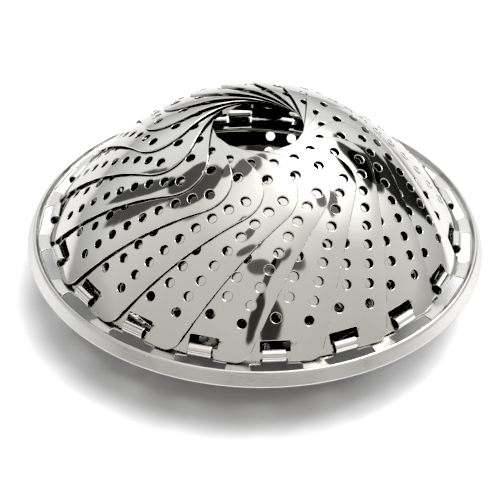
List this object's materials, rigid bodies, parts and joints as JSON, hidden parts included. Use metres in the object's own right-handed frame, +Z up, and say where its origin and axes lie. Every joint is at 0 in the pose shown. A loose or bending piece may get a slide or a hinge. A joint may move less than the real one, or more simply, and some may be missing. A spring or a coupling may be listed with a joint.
{
  "type": "folding steamer basket",
  "caption": "Folding vegetable steamer basket: hinged perforated steel petals that spiral shut as a dome over a round dish, on short folding legs.",
  "frame": {"origin": "on the floor under the middle of the basket, with the legs folded flat", "axes": "+Z up along the basket's axis, +X through the middle of petal_01's hinge"},
  "size_m": [0.1594, 0.1594, 0.0732],
  "materials": {
    "petal_steel": "mirror-polished stainless steel sheet",
    "dish_steel": "satin stainless steel sheet, polished inside",
    "leg_steel": "satin stainless steel strip",
    "fastener_steel": "plain stainless steel"
  },
  "bodies": {
    "base": {"base_dish": "dish_steel", "leg_bracket_1": "leg_steel", "leg_pin_1": "fastener_steel", "rivet_1_inner": "fastener_steel", "rivet_1_outer": "fastener_steel", "leg_bracket_2": "leg_steel", "leg_pin_2": "fastener_steel", "rivet_2_inner": "fastener_steel", "rivet_2_outer": "fastener_steel", "leg_bracket_3": "leg_steel", "leg_pin_3": "fastener_steel", "rivet_3_inner": "fastener_steel", "rivet_3_outer": "fastener_steel"},
    "petal_01": {"petal_01": "petal_steel"},
    "petal_02": {"petal_02": "petal_steel"},
    "petal_03": {"petal_03": "petal_steel"},
    "petal_04": {"petal_04": "petal_steel"},
    "petal_05": {"petal_05": "petal_steel"},
    "petal_06": {"petal_06": "petal_steel"},
    "petal_07": {"petal_07": "petal_steel"},
    "petal_08": {"petal_08": "petal_steel"},
    "petal_09": {"petal_09": "petal_steel"},
    "petal_10": {"petal_10": "petal_steel"},
    "petal_11": {"petal_11": "petal_steel"},
    "petal_12": {"petal_12": "petal_steel"},
    "petal_13": {"petal_13": "petal_steel"},
    "petal_14": {"petal_14": "petal_steel"},
    "petal_15": {"petal_15": "petal_steel"},
    "petal_16": {"petal_16": "petal_steel"},
    "petal_17": {"petal_17": "petal_steel"},
    "petal_18": {"petal_18": "petal_steel"},
    "leg_1": {"leg_1": "leg_steel"},
    "leg_2": {"leg_2": "leg_steel"},
    "leg_3": {"leg_3": "leg_steel"}
  },
  "joints": [
    {"name": "petal_01_hinge", "type": "hinge", "parent": "base", "child": "petal_01", "pos_m": [0.07, 0, 0.02805], "axis": [0, 1, 0], "range_deg": [0, 110]},
    {"name": "petal_02_hinge", "type": "hinge", "parent": "base", "child": "petal_02", "pos_m": [0.06578, 0.02394, 0.02805], "axis": [-0.342, 0.9397, 0], "range_deg": [0, 110]},
    {"name": "petal_03_hinge", "type": "hinge", "parent": "base", "child": "petal_03", "pos_m": [0.05362, 0.045, 0.02805], "axis": [-0.6428, 0.766, 0], "range_deg": [0, 110]},
    {"name": "petal_04_hinge", "type": "hinge", "parent": "base", "child": "petal_04", "pos_m": [0.035, 0.06062, 0.02805], "axis": [-0.866, 0.5, 0], "range_deg": [0, 110]},
    {"name": "petal_05_hinge", "type": "hinge", "parent": "base", "child": "petal_05", "pos_m": [0.01216, 0.06894, 0.02805], "axis": [-0.9848, 0.1736, 0], "range_deg": [0, 110]},
    {"name": "petal_06_hinge", "type": "hinge", "parent": "base", "child": "petal_06", "pos_m": [-0.01216, 0.06894, 0.02805], "axis": [-0.9848, -0.1736, 0], "range_deg": [0, 110]},
    {"name": "petal_07_hinge", "type": "hinge", "parent": "base", "child": "petal_07", "pos_m": [-0.035, 0.06062, 0.02805], "axis": [-0.866, -0.5, 0], "range_deg": [0, 110]},
    {"name": "petal_08_hinge", "type": "hinge", "parent": "base", "child": "petal_08", "pos_m": [-0.05362, 0.045, 0.02805], "axis": [-0.6428, -0.766, 0], "range_deg": [0, 110]},
    {"name": "petal_09_hinge", "type": "hinge", "parent": "base", "child": "petal_09", "pos_m": [-0.06578, 0.02394, 0.02805], "axis": [-0.342, -0.9397, 0], "range_deg": [0, 110]},
    {"name": "petal_10_hinge", "type": "hinge", "parent": "base", "child": "petal_10", "pos_m": [-0.07, 0, 0.02805], "axis": [0, -1, 0], "range_deg": [0, 110]},
    {"name": "petal_11_hinge", "type": "hinge", "parent": "base", "child": "petal_11", "pos_m": [-0.06578, -0.02394, 0.02805], "axis": [0.342, -0.9397, 0], "range_deg": [0, 110]},
    {"name": "petal_12_hinge", "type": "hinge", "parent": "base", "child": "petal_12", "pos_m": [-0.05362, -0.045, 0.02805], "axis": [0.6428, -0.766, 0], "range_deg": [0, 110]},
    {"name": "petal_13_hinge", "type": "hinge", "parent": "base", "child": "petal_13", "pos_m": [-0.035, -0.06062, 0.02805], "axis": [0.866, -0.5, 0], "range_deg": [0, 110]},
    {"name": "petal_14_hinge", "type": "hinge", "parent": "base", "child": "petal_14", "pos_m": [-0.01216, -0.06894, 0.02805], "axis": [0.9848, -0.1736, 0], "range_deg": [0, 110]},
    {"name": "petal_15_hinge", "type": "hinge", "parent": "base", "child": "petal_15", "pos_m": [0.01216, -0.06894, 0.02805], "axis": [0.9848, 0.1736, 0], "range_deg": [0, 110]},
    {"name": "petal_16_hinge", "type": "hinge", "parent": "base", "child": "petal_16", "pos_m": [0.035, -0.06062, 0.02805], "axis": [0.866, 0.5, 0], "range_deg": [0, 110]},
    {"name": "petal_17_hinge", "type": "hinge", "parent": "base", "child": "petal_17", "pos_m": [0.05362, -0.045, 0.02805], "axis": [0.6428, 0.766, 0], "range_deg": [0, 110]},
    {"name": "petal_18_hinge", "type": "hinge", "parent": "base", "child": "petal_18", "pos_m": [0.06578, -0.02394, 0.02805], "axis": [0.342, 0.9397, 0], "range_deg": [0, 110]},
    {"name": "leg_1_hinge", "type": "hinge", "parent": "base", "child": "leg_1", "pos_m": [0.03031, 0.0175, 0.0041], "axis": [0.5, -0.866, 0], "range_deg": [0, 100]},
    {"name": "leg_2_hinge", "type": "hinge", "parent": "base", "child": "leg_2", "pos_m": [-0.03031, 0.0175, 0.0041], "axis": [0.5, 0.866, 0], "range_deg": [0, 100]},
    {"name": "leg_3_hinge", "type": "hinge", "parent": "base", "child": "leg_3", "pos_m": [0, -0.035, 0.0041], "axis": [-1, 0, 0], "range_deg": [0, 100]}
  ],
  "couplings": [
    {"joint": "petal_02_hinge", "follows": "petal_01_hinge", "ratio": 1},
    {"joint": "petal_03_hinge", "follows": "petal_01_hinge", "ratio": 1},
    {"joint": "petal_04_hinge", "follows": "petal_01_hinge", "ratio": 1},
    {"joint": "petal_05_hinge", "follows": "petal_01_hinge", "ratio": 1},
    {"joint": "petal_06_hinge", "follows": "petal_01_hinge", "ratio": 1},
    {"joint": "petal_07_hinge", "follows": "petal_01_hinge", "ratio": 1},
    {"joint": "petal_08_hinge", "follows": "petal_01_hinge", "ratio": 1},
    {"joint": "petal_09_hinge", "follows": "petal_01_hinge", "ratio": 1},
    {"joint": "petal_10_hinge", "follows": "petal_01_hinge", "ratio": 1},
    {"joint": "petal_11_hinge", "follows": "petal_01_hinge", "ratio": 1},
    {"joint": "petal_12_hinge", "follows": "petal_01_hinge", "ratio": 1},
    {"joint": "petal_13_hinge", "follows": "petal_01_hinge", "ratio": 1},
    {"joint": "petal_14_hinge", "follows": "petal_01_hinge", "ratio": 1},
    {"joint": "petal_15_hinge", "follows": "petal_01_hinge", "ratio": 1},
    {"joint": "petal_16_hinge", "follows": "petal_01_hinge", "ratio": 1},
    {"joint": "petal_17_hinge", "follows": "petal_01_hinge", "ratio": 1},
    {"joint": "petal_18_hinge", "follows": "petal_01_hinge", "ratio": 1}
  ]
}
